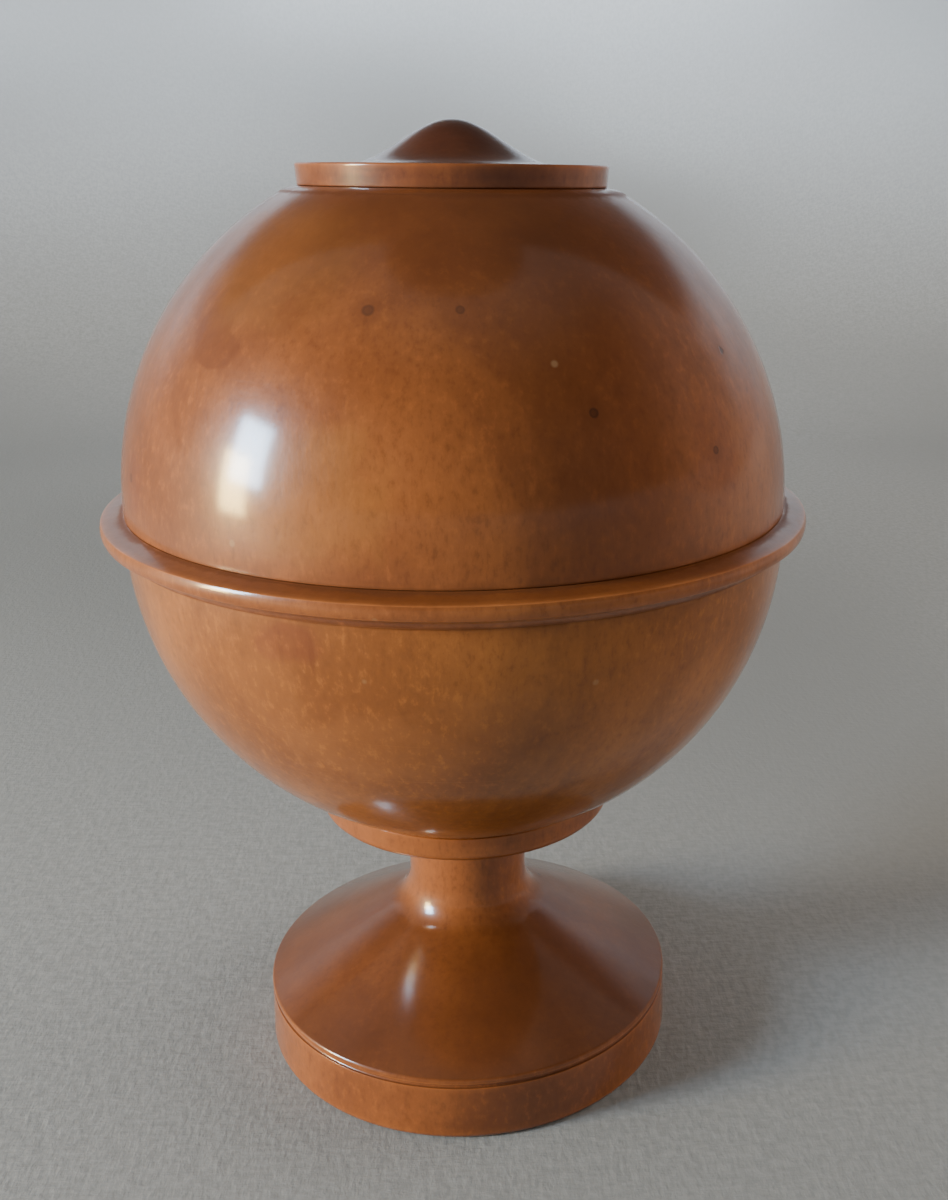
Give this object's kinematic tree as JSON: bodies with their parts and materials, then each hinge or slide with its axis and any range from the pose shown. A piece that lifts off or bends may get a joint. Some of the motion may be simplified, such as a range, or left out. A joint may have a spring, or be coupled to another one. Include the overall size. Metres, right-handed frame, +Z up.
{
  "type": "globe puzzle box",
  "caption": "Turned wooden globe on a foot that opens like a cryptex: a turning belt hides gates that free the upper shell, and a turning cap locks a small well.",
  "frame": {"origin": "middle of the foot's underside, on the table", "axes": "+Z up along the turning axis of the globe; +X to the right of a viewer who looks along +Y"},
  "size_m": [0.107, 0.107, 0.1498],
  "materials": {
    "globe_wood": "polished turned boxwood, warm orange brown",
    "belt_wood": "polished turned boxwood, a shade darker",
    "foot_wood": "polished turned boxwood",
    "cap_wood": "polished turned boxwood, red brown",
    "inner_wood": "unpolished turned boxwood",
    "brass": "satin turned brass",
    "leather": "waxed leather",
    "baize": "green baize"
  },
  "bodies": {
    "base": {"foot": "foot_wood", "foot_baize": "baize", "collar": "foot_wood", "bowl": "globe_wood", "tenon_nut": "inner_wood", "index_pin": "brass", "race_ring": "brass", "belt_washer": "leather"},
    "belt": {"belt": "belt_wood", "belt_keeper": "inner_wood"},
    "dome": {"dome": "globe_wood", "dome_skirt": "inner_wood", "lug_pins": "brass", "well_cup": "inner_wood"},
    "cap_plug": {"cap_plug": "inner_wood", "plug_key": "brass", "pivot_washer": "leather"},
    "cap": {"cap": "cap_wood", "cap_pivot": "brass", "cap_tongue": "brass", "tongue_screw": "brass"}
  },
  "joints": [
    {"name": "belt_turn", "type": "hinge", "parent": "base", "child": "belt", "pos_m": [0, 0, 0.0942], "axis": [0, 0, 1], "continuous": true},
    {"name": "dome_lift", "type": "slide", "parent": "base", "child": "dome", "axis": [0, 0, 1], "range_m": [0, 0.06]},
    {"name": "cap_lift", "type": "slide", "parent": "dome", "child": "cap_plug", "axis": [0, 0, 1], "range_m": [0, 0.03]},
    {"name": "cap_turn", "type": "hinge", "parent": "cap_plug", "child": "cap", "pos_m": [0, 0, 0.1425], "axis": [0, 0, 1], "continuous": true}
  ]
}
